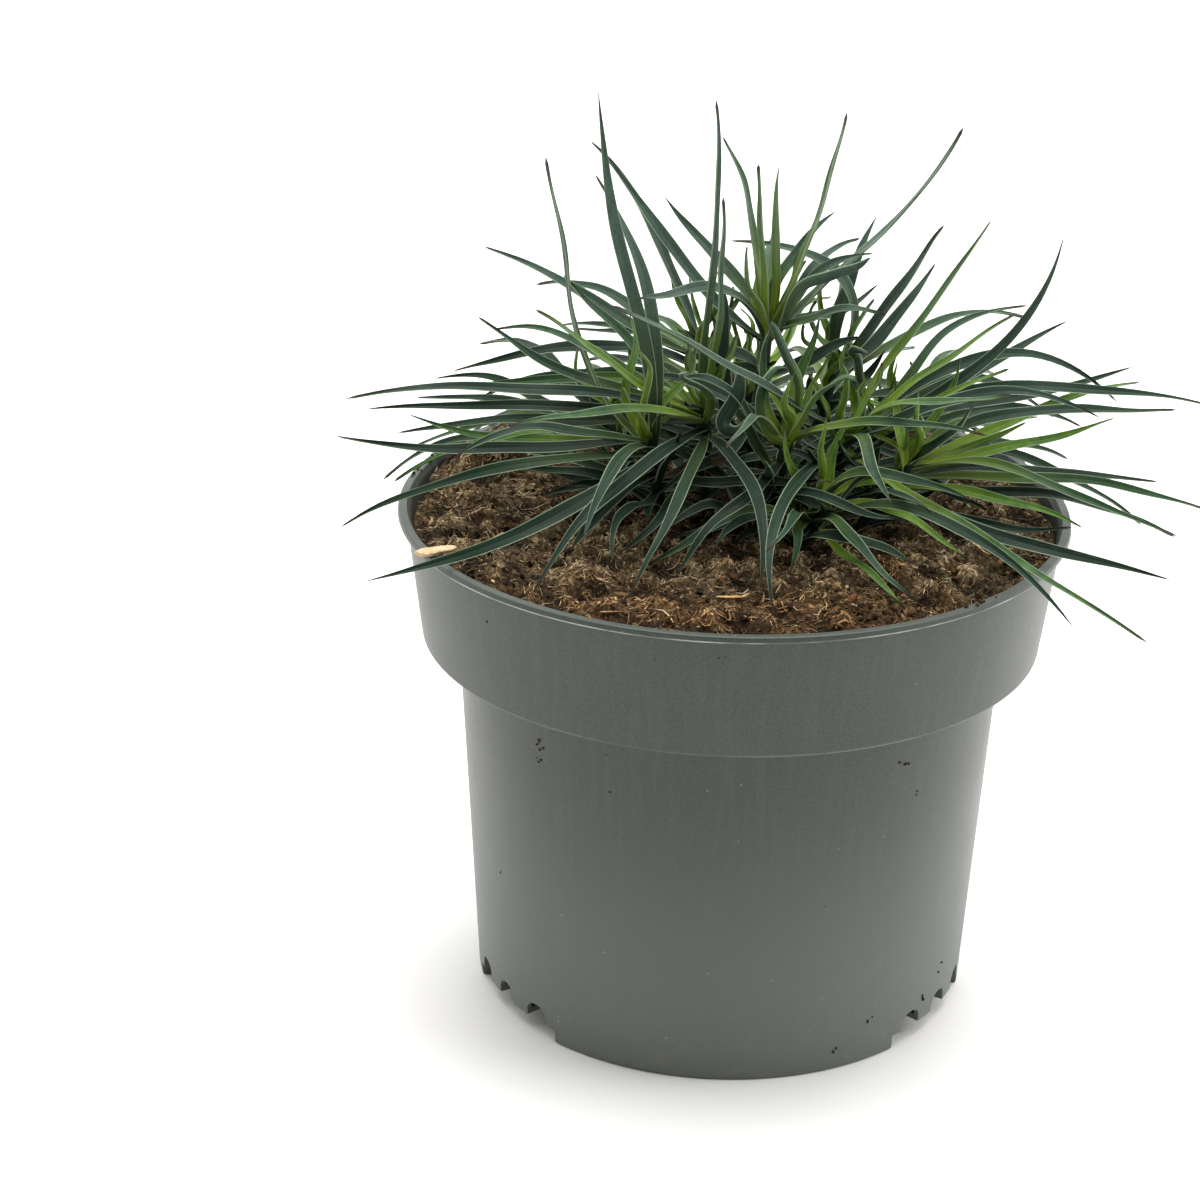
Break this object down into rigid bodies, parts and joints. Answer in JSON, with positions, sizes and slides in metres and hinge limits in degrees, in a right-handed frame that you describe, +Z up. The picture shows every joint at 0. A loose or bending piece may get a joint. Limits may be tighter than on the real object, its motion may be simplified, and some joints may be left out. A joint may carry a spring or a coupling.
{
  "type": "potted dianthus plant",
  "caption": "Tuft of narrow pointed blue-green leaves on short leafy shoots, growing in potting soil in a round plastic nursery pot with a deep rim collar.",
  "frame": {"origin": "centre of the pot's foot, on the surface that the pot stands on", "axes": "+Z up along the pot's axis, +X to the viewer's right from the front, +Y away from the viewer"},
  "size_m": [0.216, 0.1897, 0.23],
  "materials": {
    "pot_plastic": "satin grey-green thermoformed plastic",
    "potting_soil": "matt crumbly fibrous potting soil",
    "wood_chip": "raw pale splinter",
    "leaf": "satin waxy leaf, blue-green when old and yellow-green when young"
  },
  "bodies": {
    "root": {"pot": "pot_plastic", "soil": "potting_soil", "wood_chip": "wood_chip", "shoot_left": "leaf", "shoot_low_left": "leaf", "shoot_back_left": "leaf", "shoot_top": "leaf", "shoot_back_right": "leaf", "shoot_right": "leaf", "shoot_far_right": "leaf", "shoot_centre": "leaf", "shoot_front_low": "leaf", "shoot_back": "leaf", "shoot_rear_left": "leaf", "shoot_rear_right": "leaf"}
  },
  "joints": []
}
